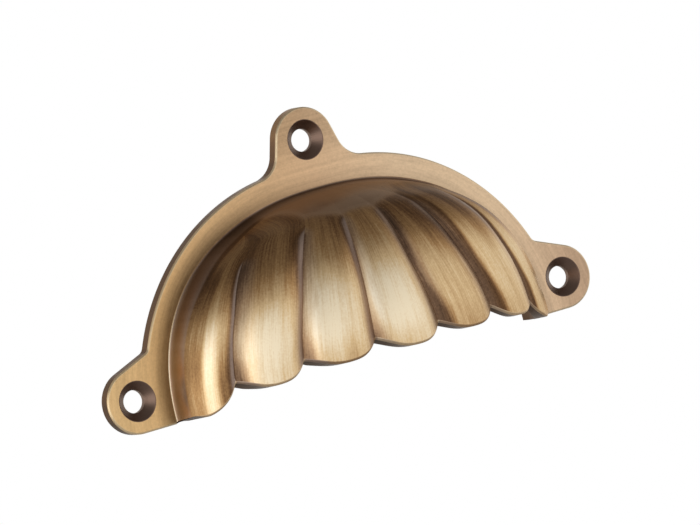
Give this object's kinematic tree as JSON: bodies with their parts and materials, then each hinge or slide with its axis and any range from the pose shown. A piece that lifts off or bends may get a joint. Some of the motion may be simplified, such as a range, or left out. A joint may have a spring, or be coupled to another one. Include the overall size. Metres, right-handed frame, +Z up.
{
  "type": "cup drawer pull",
  "caption": "Fluted shell cup pull cast in one piece of antique brass, with a flat flange and countersunk screw lugs at both ends and at the top.",
  "frame": {"origin": "on the back face, midway between the two lower screw holes", "axes": "+X to the right along the line of the lower screw holes, +Y out of the back face into the drawer front, +Z up towards the top screw hole; the mouth opens downwards"},
  "size_m": [0.104, 0.0253, 0.0495],
  "materials": {
    "antique_brass": "brushed antique brass, darkened in the grooves, worn bright on the flutes"
  },
  "bodies": {
    "root": {"cup_pull": "antique_brass"}
  },
  "joints": []
}
